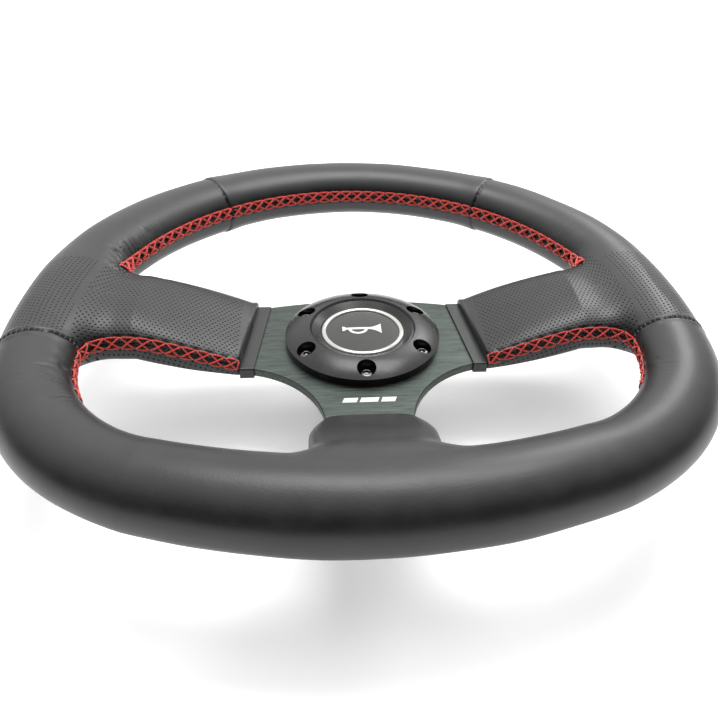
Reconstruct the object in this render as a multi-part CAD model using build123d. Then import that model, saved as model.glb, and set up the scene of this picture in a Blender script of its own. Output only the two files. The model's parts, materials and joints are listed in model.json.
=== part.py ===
from build123d import *
import os
from math import asin, ceil, cos, copysign, degrees, pi, radians, sin, sqrt

# Racing steering wheel with a quick release socket on its back, one STEP file per piece.
#
# Frame: the origin is on the steering axis, at the end face of the quick release socket, where it
# seats against the column. +Z runs along the steering axis to the driver, +Y points to twelve
# o'clock and +X to the driver's right. Lengths are millimetres.
#
# A place on the rim is named by its turn: the direction the rim's outside faces there, in degrees
# clockwise from twelve o'clock as the driver sees it. 0 is the top, 90 the right, 180 the bottom.

# ---- spoke plate and hub levels -------------------------------------------------------------
PLATE_TOP = 45.0
PLATE_THICK = 4.0
PLATE_BOTTOM = PLATE_TOP - PLATE_THICK
PLATE_BORE_R = 25.0
PLATE_CROWN_Y = 40.0
PLATE_CROWN_R = 235.0
PLATE_HALF_WIDTH = 64.0
PLATE_SHOULDER_X = 54.0
PLATE_LOW_SHOULDER_X = 59.0
PLATE_END_Y = (-17.0, 26.5)
PLATE_EDGE_CHAMFER = 0.5
CUTOUT_X = 70.0
CUTOUT_Y = -72.0
CUTOUT_R = 49.0
FOOT_TOP_HALF_WIDTH = 19.3
FOOT_HALF_WIDTH = 17.0
FOOT_END_Y = -73.5
BOLT_CIRCLE_R = 35.0
BOLT_COUNT = 6
BOLT_CLEARANCE_R = 2.75
BOLT_TAP_R = 2.55

# ---- rim ------------------------------------------------------------------------------------
RIM_Z = PLATE_TOP + 20.0
RIM_TOP_Y = 156.0
TOP_ARC_R, TOP_ARC_TURN = 155.0, 82.0
SIDE_ARC_R, SIDE_ARC_TURN = 272.0, 15.0
CORNER_ARC_R, CORNER_ARC_TURN = 92.5, 63.5
# Half the rim's width from twelve o'clock round to six: (turn, half width).
RIM_HALF_WIDTHS = ((0.0, 19.2), (60.0, 20.5), (100.0, 18.3), (145.0, 19.1), (180.0, 21.6))
RIM_FLATNESS = 0.84
LEATHER_THICK = 1.5
TOP_SEAM_TURN = 35.0
GRIP_SEAM_TURN = 94.5
STATION_STEP = 12.0
SECTION_POINTS = 24

# ---- metal inside the rim -------------------------------------------------------------------
# Each arm: where it starts, bends up, levels out and ends, and half its width.
SIDE_ARM = (58.0, 66.0, 134.0, 161.0, 15.0)
SIDE_ARM_Y = 5.0
LOWER_ARM = (66.0, 73.0, 122.0, 146.0, 13.0)
RING_HALF_WIDTH = 8.0
RING_THICK = 4.0
RING_BOTTOM = RIM_Z - RING_THICK / 2
RIVET_R = 2.5
RIVET_HEAD_R = 4.5
RIVET_HEAD_TALL = 1.6
RIVET_OFFSET = 8.0
SIDE_RIVET_TURN = 88.0

# ---- padded spokes --------------------------------------------------------------------------
# Heights of the padding are measured from the plate's top face.
SPOKE_START_X = 61.0
SPOKE_CREST_X = 115.0
SPOKE_END_X = 146.0
SPOKE_TILT = 6.5
SPOKE_MID_Y = (4.8, 6.0)
SPOKE_MID_Z = (-0.3, 14.5)
SPOKE_HALF_WIDE = (30.5, 29.5)
SPOKE_HALF_TALL = (5.9, 13.0)
SPOKE_SWELL = 1.2
SPOKE_SQUARENESS = (4.5, 2.8)
LOWER_START_Y = 66.0
LOWER_FLARE_Y = 90.0
LOWER_CREST_Y = 124.0
LOWER_END_Y = 134.0
LOWER_HALF_WIDE = (21.4, 29.0)
LOWER_TOP = (2.8, 32.5)
LOWER_UNDERSIDE = (-7.6, 4.0)
LOWER_SQUARENESS = (5.0, 2.6)
HEM_WIDTH = 7.0
HEM_THICK = 1.2
HEM_SPAN = 59.6
HEM_MID_Y = 4.0
HEM_CORNER_R = 1.1

# ---- stitching ------------------------------------------------------------------------------
THREAD_BAND_R = 1.3
THREAD_RISE = 0.4
THREAD_STARTS_X = 66.5
THREAD_CORNER = (131.0, -27.5, RIM_Z - 1.5)
UPPER_STITCH_TURN = 72.0

# ---- trim ring and its screws ---------------------------------------------------------------
TRIM_OUTER_R = 41.6
TRIM_INNER_R = 27.6
TRIM_WALL = 4.3
TRIM_BOLT_LEVEL = 7.4
TRIM_CROWN = 9.0
TRIM_RECESS_R = 28.8
TRIM_RECESS_LEVEL = 1.7
COUNTERBORE_R = 4.95
COUNTERBORE_FLOOR = PLATE_TOP + 2.4
SCREW_R = 2.5
SCREW_HEAD_R = 4.3
SCREW_HEAD_TALL = 3.4
SCREW_LENGTH = 12.2
SCREW_SOCKET_R = 1.75

# ---- horn button ----------------------------------------------------------------------------
HORN_TRAVEL = 2.0
CAP_R = 22.5
CAP_BORE_R = 22.58
CAP_TOP = PLATE_TOP + 5.4
CAP_FLANGE_R = 23.4
CAP_SKIN = PLATE_TOP + 3.0
CAP_SPRING_WELL_R = 10.6
CHAMBER_R = 23.7
HOUSING_R = 24.7
HOUSING_FLANGE_R = 28.6
HOUSING_FLANGE_TALL = 1.6
BEZEL_R = 27.5
BEZEL_INNER_R = 23.1
BEZEL_LOW = PLATE_TOP + 6.2
BEZEL_HIGH = PLATE_TOP + 8.3
HOUSING_BOTTOM = 34.0
BASE_FLOOR = 36.5
BLADE_END = 29.0
BLADE_WIDE, BLADE_THICK = 6.3, 0.8
LIP_LEVEL = PLATE_TOP + 0.45
EMBLEM_R = 19.5
EMBLEM_EDGE = 0.5
EMBLEM_CROWN = 1.4
CONTACT_INNER_R = 12.0
CONTACT_OUTER_R = 20.0
CONTACT_THICK = 0.6
FIXED_CONTACT_TOP = 41.0
MOVING_CONTACT_BOTTOM = FIXED_CONTACT_TOP + HORN_TRAVEL + 0.02
HORN_SPRING_R = 8.0
HORN_SPRING_WIRE_R = 0.55
HORN_SPRING_TURNS = 4.0

# ---- quick release socket -------------------------------------------------------------------
FLANGE_R = 41.0
FLANGE_BOTTOM = 35.0
CUP_R = 29.0
CUP_BOTTOM = 25.0
POCKET_R = 25.0
POCKET_FLOOR = 28.0
SOCKET_R = 17.0
BORE_R = 12.0
BORE_TOP = 24.0
PILOT_R = 14.0
PILOT_DEEP = 5.0
SPLINE_COUNT = 6
SPLINE_R = 13.6
SPLINE_WIDTH = 2.6
SPLINE_TOP = 19.0
BALL_COUNT = 6
BALL_R = 3.175
BALL_Z = 9.0
BALL_CENTRE_R = 13.975
BALL_HOLE_R = 3.23
BALL_SEAT_R = 2.75
RAMP_SLOPE = 0.2
COLLAR_R = 24.5
COLLAR_BOTTOM = 2.9
COLLAR_TOP = 18.5
COLLAR_BORE_R = 17.05
COLLAR_CHAMBER_R = 20.5
COLLAR_CHAMBER_FLOOR = 13.5
COLLAR_TRAVEL = 6.0
COLLAR_SPRING_R = 18.8
COLLAR_SPRING_WIRE_R = 0.6
COLLAR_SPRING_TURNS = 3.5
SNAP_RING_Z = 1.2
SNAP_RING_TALL = 1.6
SNAP_GROOVE_R = 16.0
SNAP_RING_OUTER_R = 19.4
O_RING_Z = 21.7
O_RING_R = 12.7
O_RING_WIRE_R = 1.05
O_GROOVE_R = O_RING_R + 1.1
O_GROOVE_HALF = 1.15
GRIP_NOTCHES = 24

NODES = {}


# ---- small helpers --------------------------------------------------------------------------
def lerp(start, end, share):
    return start + (end - start) * share


def disc(radius, bottom, top, x=0.0, y=0.0):
    """A plain cylinder along Z between two levels."""
    return Pos(x, y, (bottom + top) / 2) * Cylinder(radius, top - bottom)


def tube(outer, inner, bottom, top):
    """A round tube along Z between two levels; the cutter runs past both ends."""
    return disc(outer, bottom, top) - disc(inner, bottom - 1, top + 1)


def turned(points):
    """A solid turned about Z from an (r, z) outline."""
    outline = make_face(Polyline(*[(r, 0, z) for r, z in points], close=True))
    return revolve(outline, Axis.Z)


def around(count, radius, start=0.0):
    """Points evenly spaced on a circle, the first one at the start angle from twelve o'clock."""
    places = []
    for step in range(count):
        angle = radians(start + 360.0 * step / count)
        places.append((radius * sin(angle), radius * cos(angle), degrees(angle)))
    return places


def mirrored(solid):
    """The left hand copy of a right hand piece."""
    return mirror(solid, about=Plane.YZ)


# ---- the rim's centreline and section -------------------------------------------------------
def rim_arcs():
    """The arcs of the right half, top to bottom; the last one closes the outline on x = 0."""
    arcs = [(TOP_ARC_R, TOP_ARC_TURN), (SIDE_ARC_R, SIDE_ARC_TURN), (CORNER_ARC_R, CORNER_ARC_TURN)]
    x = 0.0
    start = 0.0
    for radius, span in arcs:
        x += radius * (sin(radians(start + span)) - sin(radians(start)))
        start += span
    arcs.append((x / sin(radians(start)), 180.0 - start))
    return arcs


RIM_ARCS = rim_arcs()


def rim_centre(turn):
    """Centre of the rim section at a turn; turns past 180 or below 0 are on the left."""
    turn = (turn + 180.0) % 360.0 - 180.0
    x, y, start, left = 0.0, RIM_TOP_Y, 0.0, abs(turn)
    for radius, span in RIM_ARCS:
        step = min(left, span)
        x += radius * (sin(radians(start + step)) - sin(radians(start)))
        y += radius * (cos(radians(start + step)) - cos(radians(start)))
        start += step
        left -= step
    return (copysign(x, turn) if turn else 0.0), y


def rim_half_width(turn):
    """Half the section's width, eased with a cosine between the named places."""
    turn = abs((turn + 180.0) % 360.0 - 180.0)
    for (t0, w0), (t1, w1) in zip(RIM_HALF_WIDTHS, RIM_HALF_WIDTHS[1:]):
        if turn <= t1:
            return lerp(w0, w1, (1 - cos(pi * (turn - t0) / (t1 - t0))) / 2)
    return RIM_HALF_WIDTHS[-1][1]


def rim_plane(turn):
    """Plane of the rim section: its X points outward and its Y along -Z of the wheel."""
    x, y = rim_centre(turn)
    angle = radians(turn)
    return Plane(origin=(x, y, RIM_Z), x_dir=(sin(angle), cos(angle), 0), z_dir=(cos(angle), -sin(angle), 0))


def stations(first, last):
    count = ceil(abs(last - first) / STATION_STEP)
    return [lerp(first, last, step / count) for step in range(count + 1)]


def rim_stretch(first, last, inset):
    """The rim between two turns, its surface drawn in by the inset."""
    sections = []
    for turn in stations(first, last):
        half = rim_half_width(turn)
        sections.append(rim_plane(turn) * Ellipse(half - inset, half * RIM_FLATNESS - inset))
    return loft(sections)


# ---- padded spoke shapes --------------------------------------------------------------------
def rounded_section(middle, half_wide, half_tall, squareness, place):
    """A superellipse face; place turns (across, up) into a point in space."""
    points = []
    for step in range(SECTION_POINTS):
        angle = 2 * pi * step / SECTION_POINTS
        across = copysign(abs(cos(angle)) ** (2 / squareness), cos(angle))
        up = copysign(abs(sin(angle)) ** (2 / squareness), sin(angle))
        points.append(place(middle[0] + half_wide * across, middle[1] + half_tall * up))
    return make_face(Spline(*points, periodic=True))


def side_pad_shape(x):
    """Centre, half width, half height and squareness of the right spoke's padding at x."""
    rise = min(max((x - SPOKE_START_X) / (SPOKE_CREST_X - SPOKE_START_X), 0.0), 1.0)
    across = min(max((x - SPOKE_START_X) / (SPOKE_END_X - SPOKE_START_X), 0.0), 1.0)
    middle = (lerp(*SPOKE_MID_Y, across), PLATE_TOP + lerp(*SPOKE_MID_Z, rise))
    half_wide = lerp(*SPOKE_HALF_WIDE, across) + SPOKE_SWELL * sin(pi * across)
    half_tall = lerp(*SPOKE_HALF_TALL, rise) + SPOKE_SWELL * sin(pi * rise)
    return middle, half_wide, half_tall, lerp(*SPOKE_SQUARENESS, rise)


def side_pad(inset):
    """Padding of the right spoke, from its tilted hub end to inside the rim."""
    sections = []
    for x in (50.0, SPOKE_START_X, 72.0, 86.0, 100.0, SPOKE_CREST_X, 130.0, SPOKE_END_X):
        middle, wide, tall, square = side_pad_shape(x)
        place = lambda a, b: (x, a, b)
        sections.append(rounded_section(middle, wide - inset, tall - inset, square, place))
    return loft(sections) & spoke_slab(0.0, 120.0)


def spoke_slab(first, last):
    """The space between two distances outboard of the right spoke's tilted hub end."""
    block = Pos((first + last) / 2, 0, 0) * Box(last - first, 160, 200)
    return Pos(SPOKE_START_X, 4, PLATE_TOP) * Rot(0, 0, SPOKE_TILT) * block


def lower_pad_shape(drop):
    """Centre, half width, half height and squareness of the lower spoke's padding."""
    rise = min(max((drop - LOWER_START_Y) / (LOWER_CREST_Y - LOWER_START_Y), 0.0), 1.0)
    flare = min(max((drop - LOWER_START_Y) / (LOWER_FLARE_Y - LOWER_START_Y), 0.0), 1.0)
    top, underside = lerp(*LOWER_TOP, rise), lerp(*LOWER_UNDERSIDE, rise)
    middle = (0.0, PLATE_TOP + (top + underside) / 2)
    half_wide = lerp(*LOWER_HALF_WIDE, sin(pi / 2 * flare))
    return middle, half_wide, (top - underside) / 2, lerp(*LOWER_SQUARENESS, rise)


def lower_pad(inset):
    """Padding of the lower spoke, from its hub end to inside the rim."""
    sections = []
    for drop in (LOWER_START_Y, 74.0, 82.0, LOWER_FLARE_Y, 106.0, LOWER_CREST_Y, LOWER_END_Y):
        middle, wide, tall, square = lower_pad_shape(drop)
        place = lambda a, b: (a, -drop, b)
        sections.append(rounded_section(middle, wide - inset, tall - inset, square, place))
    return loft(sections)


# ---- metal frame ----------------------------------------------------------------------------
def crown_y(x):
    """Height of the plate's upper edge at x."""
    return PLATE_CROWN_Y - PLATE_CROWN_R + sqrt(PLATE_CROWN_R ** 2 - x * x)


def cutout_x(y):
    """Edge of the right hand opening, left of its centre, at a height y."""
    return CUTOUT_X - sqrt(CUTOUT_R ** 2 - (y - CUTOUT_Y) ** 2)


def plate_outline():
    """Flat outline of the three-spoke plate, without its arms; its ends are narrower inside the padding."""
    half = PLATE_HALF_WIDTH
    low_rise = sqrt(CUTOUT_R ** 2 - (CUTOUT_X - PLATE_LOW_SHOULDER_X) ** 2)
    low_corner = (PLATE_LOW_SHOULDER_X, CUTOUT_Y + low_rise)
    high_corner = (PLATE_SHOULDER_X, crown_y(PLATE_SHOULDER_X))
    foot_top = -LOWER_START_Y + 0.1
    bend = CUTOUT_R * sqrt(0.5)
    right = [
        Line(high_corner, (half, PLATE_END_Y[1])),
        Line((half, PLATE_END_Y[1]), (half, PLATE_END_Y[0])),
        Line((half, PLATE_END_Y[0]), low_corner),
        ThreePointArc(low_corner, (CUTOUT_X - bend, CUTOUT_Y + bend), (cutout_x(foot_top), foot_top)),
        Line((cutout_x(foot_top), foot_top), (FOOT_TOP_HALF_WIDTH, foot_top)),
        Line((FOOT_TOP_HALF_WIDTH, foot_top), (FOOT_HALF_WIDTH, FOOT_END_Y)),
    ]
    crown = ThreePointArc((-high_corner[0], high_corner[1]), (0, PLATE_CROWN_Y), high_corner)
    foot = Line((FOOT_HALF_WIDTH, FOOT_END_Y), (-FOOT_HALF_WIDTH, FOOT_END_Y))
    left = [mirror(edge, about=Plane.YZ) for edge in right]
    return make_face([crown, *right, foot, *left])


def bent_arm(start, bend, tip_start, tip_end, half_wide):
    """An arm along +X: flat, then rising, then flat again under the ring. Its top face is listed first."""
    drop = PLATE_THICK
    top = [(start, PLATE_TOP), (bend, PLATE_TOP), (tip_start, RING_BOTTOM), (tip_end, RING_BOTTOM)]
    low = [(x, z - drop) for x, z in reversed(top)]
    outline = make_face(Polyline(*[(x, 0, z) for x, z in top + low], close=True))
    return extrude(outline, half_wide, both=True)


def spoke_plate():
    """The brushed plate with its three arms, hub bore and bolt holes."""
    flat = Pos(0, 0, PLATE_BOTTOM) * extrude(plate_outline(), PLATE_THICK)
    edges = [e for e in flat.edges() if abs(e.center().Z - PLATE_TOP) < 0.01]
    flat = chamfer(edges, PLATE_EDGE_CHAMFER)
    side_arm = Pos(0, SIDE_ARM_Y, 0) * bent_arm(*SIDE_ARM)
    low_arm = Rot(0, 0, -90) * bent_arm(*LOWER_ARM)
    plate = flat + side_arm + mirrored(side_arm) + low_arm
    plate -= disc(PLATE_BORE_R, PLATE_BOTTOM - 1, PLATE_TOP + 1)
    for x, y, _ in around(BOLT_COUNT, BOLT_CIRCLE_R):
        plate -= disc(BOLT_CLEARANCE_R, PLATE_BOTTOM - 1, PLATE_TOP + 1, x, y)
    for x, y in rivet_places():
        plate -= disc(RIVET_R, RING_BOTTOM - 10, RING_BOTTOM + 1, x, y)
    return plate


def offset_point(turn, out):
    x, y = rim_centre(turn)
    return x + out * sin(radians(turn)), y + out * cos(radians(turn))


def ring_outline(out):
    """Closed outline parallel to the rim's centreline, one arc at a time."""
    marks = [0.0]
    for _, span in RIM_ARCS:
        marks.append(marks[-1] + span)
    marks += [360.0 - mark for mark in reversed(marks[:-1])]
    arcs = []
    for first, last in zip(marks, marks[1:]):
        ends = [offset_point(turn, out) for turn in (first, (first + last) / 2, last)]
        arcs.append(ThreePointArc(*ends))
    return make_face(arcs)


def rim_ring():
    """Flat steel ring inside the grip, riveted to the three arms."""
    outer = extrude(ring_outline(RING_HALF_WIDTH), RING_THICK)
    inner = extrude(ring_outline(-RING_HALF_WIDTH), RING_THICK)
    ring = Pos(0, 0, RING_BOTTOM) * (outer - inner)
    for x, y in rivet_places():
        ring -= disc(RIVET_R, RING_BOTTOM - 1, RING_BOTTOM + RING_THICK + 1, x, y)
    return ring


def rivet_places():
    """Two rivets per arm, side by side on the ring's centreline."""
    side_x, low_y = rim_centre(SIDE_RIVET_TURN)[0], rim_centre(180.0)[1]
    places = []
    for step in (-RIVET_OFFSET, RIVET_OFFSET):
        places += [(side_x, SIDE_ARM_Y + step), (-side_x, SIDE_ARM_Y + step), (step, low_y)]
    return places


def rivet(x, y, grow=0.0):
    bottom = RING_BOTTOM - PLATE_THICK
    top = RING_BOTTOM + RING_THICK
    shank = disc(RIVET_R, bottom, top, x, y)
    low_head = disc(RIVET_HEAD_R + grow, bottom - RIVET_HEAD_TALL - grow, bottom, x, y)
    high_head = disc(RIVET_HEAD_R + grow, top, top + RIVET_HEAD_TALL + grow, x, y)
    return shank + low_head + high_head


# ---- foam and leather -----------------------------------------------------------------------
def grip_pieces():
    """Foam moulding and the four leather covers, each cover clear of the thread bands."""
    low_seam = 360.0 - GRIP_SEAM_TURN
    top_skin = rim_stretch(-TOP_SEAM_TURN, TOP_SEAM_TURN, 0)
    top_foam = rim_stretch(-TOP_SEAM_TURN, TOP_SEAM_TURN, LEATHER_THICK)
    low_skin = rim_stretch(GRIP_SEAM_TURN, low_seam, 0) + lower_pad(0)
    low_foam = rim_stretch(GRIP_SEAM_TURN, low_seam, LEATHER_THICK) + lower_pad(LEATHER_THICK)
    side_skin = rim_stretch(TOP_SEAM_TURN, GRIP_SEAM_TURN, 0) + side_pad(0)
    side_foam = rim_stretch(TOP_SEAM_TURN, GRIP_SEAM_TURN, LEATHER_THICK) + side_pad(LEATHER_THICK)
    side_thread = side_stitching()
    right = side_skin - side_foam - side_thread
    bottom = low_skin - low_foam - side_thread - mirrored(side_thread)
    NODES["top_leather"] = top_skin - top_foam
    NODES["right_grip_leather"] = right
    NODES["left_grip_leather"] = mirrored(right)
    NODES["bottom_leather"] = bottom
    NODES["right_stitching"] = side_thread
    NODES["left_stitching"] = mirrored(side_thread)
    foam = top_foam + side_foam + mirrored(side_foam) + low_foam
    foam -= NODES["spoke_plate"]
    foam -= NODES["rim_ring"]
    for x, y in rivet_places():
        foam -= rivet(x, y)
    foam -= side_thread + mirrored(side_thread)
    NODES["rim_foam"] = foam


def side_stitching():
    """Rolled thread band under the right spoke and round the corner onto the rim."""
    points = []
    for x in (THREAD_STARTS_X, 78.0, 90.0, 104.0, 117.0):
        middle, wide, tall, square = side_pad_shape(x)
        reach = wide * (1 - THREAD_RISE ** square) ** (1 / square)
        points.append((x, middle[0] - reach, middle[1] + THREAD_RISE * tall))
    points.append(THREAD_CORNER)
    for turn in (97.0, 101.0, 108.0, 115.0):
        x, y = offset_point(turn, -rim_half_width(turn))
        points.append((x, y, RIM_Z - 1))
    path = Spline(*points)
    return sweep(Plane(origin=path @ 0, z_dir=path % 0) * Circle(THREAD_BAND_R), path=path)


def upper_stitching():
    """Thread band lying on the leather all along the inside of the upper opening."""
    sections = []
    for turn in stations(-UPPER_STITCH_TURN, UPPER_STITCH_TURN):
        half = rim_half_width(turn)
        points = []
        for out, angles in ((0.04, (182, 173, 164)), (0.8, (164, 173, 182))):
            for angle in angles:
                across = (half + out) * cos(radians(angle))
                up = (half * RIM_FLATNESS + out) * sin(radians(angle))
                points.append((across, -up))
        near = ThreePointArc(*points[:3])
        far = ThreePointArc(*points[3:])
        outline = [near, Line(points[2], points[3]), far, Line(points[5], points[0])]
        sections.append(rim_plane(turn) * make_face(outline))
    return loft(sections)


def hem_band():
    """Leather hem that wraps the plate where the right spoke's cover ends."""
    middle = Pos(SPOKE_START_X - HEM_WIDTH / 2, HEM_MID_Y, (PLATE_TOP + PLATE_BOTTOM) / 2)
    wrap = middle * Box(4 * HEM_WIDTH, HEM_SPAN, PLATE_THICK + 2 * HEM_THICK)
    wrap = fillet(wrap.edges().filter_by(Axis.X), HEM_CORNER_R)
    wrap &= spoke_slab(-HEM_WIDTH, -0.02)
    return wrap - NODES["spoke_plate"]


# ---- trim ring and screws -------------------------------------------------------------------
def trim_ring():
    """Domed ring with six counterbored holes; its underside clamps the horn housing's flange."""
    shoulder = (TRIM_OUTER_R, PLATE_TOP + TRIM_WALL)
    over_bolts = (BOLT_CIRCLE_R, PLATE_TOP + TRIM_BOLT_LEVEL)
    crown = (TRIM_INNER_R + 0.8, PLATE_TOP + TRIM_CROWN)
    bore_edge = (TRIM_INNER_R, PLATE_TOP + TRIM_CROWN - 0.8)
    recess_r, recess_z = TRIM_RECESS_R, PLATE_TOP + TRIM_RECESS_LEVEL
    plain = [
        Line(bore_edge, (TRIM_INNER_R, recess_z)),
        Line((TRIM_INNER_R, recess_z), (recess_r, recess_z)),
        Line((recess_r, recess_z), (recess_r, PLATE_TOP)),
        Line((recess_r, PLATE_TOP), (TRIM_OUTER_R, PLATE_TOP)),
        Line((TRIM_OUTER_R, PLATE_TOP), shoulder),
        ThreePointArc(shoulder, over_bolts, crown),
        Line(crown, bore_edge),
    ]
    ring = revolve(Plane.XZ * make_face(plain), Axis.Z)
    for x, y, _ in around(BOLT_COUNT, BOLT_CIRCLE_R):
        ring -= disc(COUNTERBORE_R, COUNTERBORE_FLOOR, PLATE_TOP + 20, x, y)
        ring -= disc(BOLT_CLEARANCE_R, PLATE_TOP - 1, COUNTERBORE_FLOOR + 1, x, y)
    return ring


def hub_screws():
    """Six hex socket screws through the ring and plate into the quick release flange."""
    top = COUNTERBORE_FLOOR + SCREW_HEAD_TALL
    head = disc(SCREW_HEAD_R, COUNTERBORE_FLOOR, top)
    head = chamfer(head.edges().group_by(Axis.Z)[-1], 0.4)
    shank = disc(SCREW_R, COUNTERBORE_FLOOR - SCREW_LENGTH, COUNTERBORE_FLOOR)
    drive = Pos(0, 0, top - 2.0) * extrude(RegularPolygon(SCREW_SOCKET_R, 6), 3.0)
    screw = head + shank - drive
    return Compound([Pos(x, y, 0) * screw for x, y, _ in around(BOLT_COUNT, BOLT_CIRCLE_R)])


# ---- horn button ----------------------------------------------------------------------------
def horn_housing():
    """Cup through the plate's bore with a flange under the trim ring and a sloping bezel."""
    flange_top = PLATE_TOP + HOUSING_FLANGE_TALL
    return turned([
        (CAP_BORE_R, LIP_LEVEL),
        (CAP_BORE_R, BEZEL_LOW),
        (BEZEL_INNER_R, BEZEL_LOW),
        (BEZEL_R - 0.6, BEZEL_HIGH),
        (BEZEL_R, BEZEL_HIGH - 0.2),
        (BEZEL_R, flange_top),
        (HOUSING_FLANGE_R, flange_top),
        (HOUSING_FLANGE_R, PLATE_TOP),
        (HOUSING_R, PLATE_TOP),
        (HOUSING_R, HOUSING_BOTTOM),
        (CHAMBER_R, HOUSING_BOTTOM),
        (CHAMBER_R, LIP_LEVEL),
    ])


def horn_cap():
    """Plunger that carries the chrome ring and emblem and is kept in by its lower flange."""
    contact_top = MOVING_CONTACT_BOTTOM + CONTACT_THICK
    return turned([
        (0, CAP_TOP),
        (CAP_R, CAP_TOP),
        (CAP_R, LIP_LEVEL - 0.05),
        (CAP_FLANGE_R, LIP_LEVEL - 0.05),
        (CAP_FLANGE_R, contact_top),
        (CAP_SPRING_WELL_R, contact_top),
        (CAP_SPRING_WELL_R, CAP_SKIN),
        (0, CAP_SKIN),
    ])


def cap_ring():
    """Chrome ring let into the cap's rim; its top is rounded."""
    inner, top = EMBLEM_R + 0.02, CAP_TOP + 1.5
    outline = [
        Line((inner, CAP_TOP), (CAP_R, CAP_TOP)),
        Line((CAP_R, CAP_TOP), (CAP_R, top - 0.9)),
        ThreePointArc((CAP_R, top - 0.9), ((inner + CAP_R) / 2 + 0.3, top), (inner, top - 0.7)),
        Line((inner, top - 0.7), (inner, CAP_TOP)),
    ]
    return revolve(Plane.XZ * make_face(outline), Axis.Z)


def horn_emblem():
    """Slightly domed insert in the middle of the cap."""
    rise = EMBLEM_CROWN - EMBLEM_EDGE
    dome_r = (EMBLEM_R ** 2 + rise ** 2) / (2 * rise)
    blank = disc(EMBLEM_R, CAP_TOP, CAP_TOP + 2 * EMBLEM_CROWN)
    return blank & Pos(0, 0, CAP_TOP + EMBLEM_CROWN - dome_r) * Sphere(dome_r)


def horn_base():
    """Insulating base that closes the housing, with a land for the fixed contact."""
    land = FIXED_CONTACT_TOP - CONTACT_THICK
    base = turned([
        (0, HOUSING_BOTTOM),
        (CHAMBER_R - 0.05, HOUSING_BOTTOM),
        (CHAMBER_R - 0.05, BASE_FLOOR),
        (CONTACT_OUTER_R + 1, BASE_FLOOR),
        (CONTACT_OUTER_R + 1, land),
        (CONTACT_INNER_R - 1, land),
        (CONTACT_INNER_R - 1, BASE_FLOOR),
        (0, BASE_FLOOR),
    ])
    for x, _, _ in terminal_places():
        base -= Pos(x, 0, BASE_FLOOR) * Box(BLADE_THICK + 0.1, BLADE_WIDE + 0.1, 20)
    return base


def terminal_places():
    """(x, bottom, top) of the blade under the fixed contact and the blade under the spring."""
    contact_x = (CONTACT_INNER_R + CONTACT_OUTER_R) / 2 - 1
    contact_z = FIXED_CONTACT_TOP - CONTACT_THICK
    return [(contact_x, BLADE_END, contact_z), (-HORN_SPRING_R, BLADE_END, BASE_FLOOR)]


def coil(radius, wire_r, bottom, top, turns):
    """A compression spring along Z: an open helix of round wire between two levels."""
    height = top - bottom - 2 * wire_r
    path = Helix(pitch=height / turns, height=height, radius=radius)
    wire = sweep(Plane(origin=path @ 0, z_dir=path % 0) * Circle(wire_r), path=path, is_frenet=True)
    return Pos(0, 0, bottom + wire_r) * wire


def horn_pieces():
    NODES["horn_housing"] = horn_housing()
    NODES["horn_cap"] = horn_cap()
    NODES["horn_cap_ring"] = cap_ring()
    NODES["horn_emblem"] = horn_emblem()
    NODES["horn_base"] = horn_base()
    low = FIXED_CONTACT_TOP - CONTACT_THICK
    NODES["horn_fixed_contact"] = tube(CONTACT_OUTER_R, CONTACT_INNER_R, low, FIXED_CONTACT_TOP)
    low = MOVING_CONTACT_BOTTOM
    NODES["horn_moving_contact"] = tube(CONTACT_OUTER_R, CONTACT_INNER_R, low, low + CONTACT_THICK)
    blades = [
        Pos(x, 0, (low + top) / 2) * Box(BLADE_THICK, BLADE_WIDE, top - low)
        for x, low, top in terminal_places()
    ]
    NODES["horn_terminals"] = Compound(blades)
    NODES["horn_spring"] = coil(
        HORN_SPRING_R, HORN_SPRING_WIRE_R, BASE_FLOOR + 0.02, CAP_SKIN - 0.02, HORN_SPRING_TURNS)


# ---- quick release socket -------------------------------------------------------------------
def release_socket():
    """Flanged socket bolted behind the plate: pocket, spline bore, ball holes and grooves."""
    body = turned([
        (0, POCKET_FLOOR),
        (POCKET_R, POCKET_FLOOR),
        (POCKET_R, PLATE_BOTTOM),
        (FLANGE_R, PLATE_BOTTOM),
        (FLANGE_R, FLANGE_BOTTOM),
        (CUP_R, FLANGE_BOTTOM),
        (CUP_R, CUP_BOTTOM),
        (SOCKET_R, CUP_BOTTOM),
        (SOCKET_R, SNAP_RING_Z + SNAP_RING_TALL + 0.05),
        (SNAP_GROOVE_R, SNAP_RING_Z + SNAP_RING_TALL + 0.05),
        (SNAP_GROOVE_R, SNAP_RING_Z - 0.05),
        (SOCKET_R, SNAP_RING_Z - 0.05),
        (SOCKET_R, 0),
        (PILOT_R, 0),
        (PILOT_R, PILOT_DEEP),
        (BORE_R, PILOT_DEEP),
        (BORE_R, O_RING_Z - O_GROOVE_HALF),
        (O_GROOVE_R, O_RING_Z - O_GROOVE_HALF),
        (O_GROOVE_R, O_RING_Z + O_GROOVE_HALF),
        (BORE_R, O_RING_Z + O_GROOVE_HALF),
        (BORE_R, BORE_TOP),
        (0, BORE_TOP),
    ])
    spline_deep = SPLINE_TOP - PILOT_DEEP
    slot = Pos(0, SPLINE_R / 2, PILOT_DEEP + spline_deep / 2) * Box(SPLINE_WIDTH, SPLINE_R, spline_deep)
    for step in range(SPLINE_COUNT):
        body -= Rot(0, 0, 360 / SPLINE_COUNT * step) * slot
    for _, _, angle in around(BALL_COUNT, BALL_CENTRE_R, 180 / BALL_COUNT):
        body -= Pos(0, 0, BALL_Z) * Rot(0, 0, -angle) * ball_hole()
    for x, y, _ in around(BOLT_COUNT, BOLT_CIRCLE_R):
        body -= disc(BOLT_TAP_R, FLANGE_BOTTOM - 1, PLATE_BOTTOM + 1, x, y)
    return body


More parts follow.
